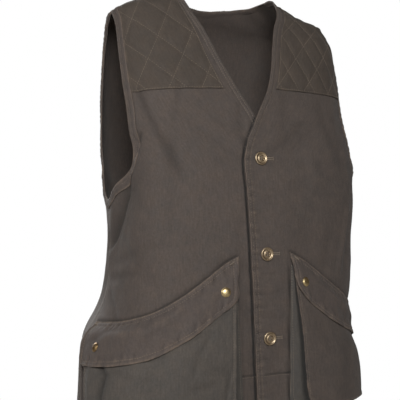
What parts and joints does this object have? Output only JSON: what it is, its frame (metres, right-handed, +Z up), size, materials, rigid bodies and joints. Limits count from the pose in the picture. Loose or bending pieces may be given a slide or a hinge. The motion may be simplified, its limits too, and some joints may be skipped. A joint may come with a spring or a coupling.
{
  "type": "canvas gilet",
  "caption": "Sleeveless canvas garment in its worn shape, with quilted shoulder patches, buttoned front and bellows pockets under snapped flaps.",
  "frame": {"origin": "midway between the neck ends of the two shoulder seams, where the garment hangs on its wearer", "axes": "+Z up, the front faces -Y, +X is the wearer's left"},
  "size_m": [0.4786, 0.3414, 0.7022],
  "materials": {
    "canvas": "brushed cotton canvas, matt, brown-grey",
    "patch_canvas": "quilted cotton canvas, matt, a little browner",
    "trim_canvas": "doubled cotton canvas, matt, topstitched",
    "gusset_canvas": "cotton canvas, matt, greener grey",
    "button_brass": "aged, satin",
    "snap_brass": "aged, satin"
  },
  "bodies": {
    "root": {"front_right": "canvas", "front_left": "canvas", "back": "canvas", "shoulder_patch_right": "patch_canvas", "shoulder_patch_left": "patch_canvas", "armhole_band_right": "trim_canvas", "armhole_band_left": "trim_canvas", "pocket_pouch_right": "canvas", "pocket_pouch_left": "canvas", "pocket_gusset_right": "gusset_canvas", "pocket_gusset_left": "gusset_canvas", "pocket_flap_right": "trim_canvas", "pocket_flap_left": "trim_canvas", "snap_right_front": "snap_brass", "snap_right_side": "snap_brass", "snap_left_front": "snap_brass", "snap_left_side": "snap_brass", "button_top": "button_brass", "button_middle": "button_brass", "button_bottom": "button_brass"}
  },
  "joints": []
}
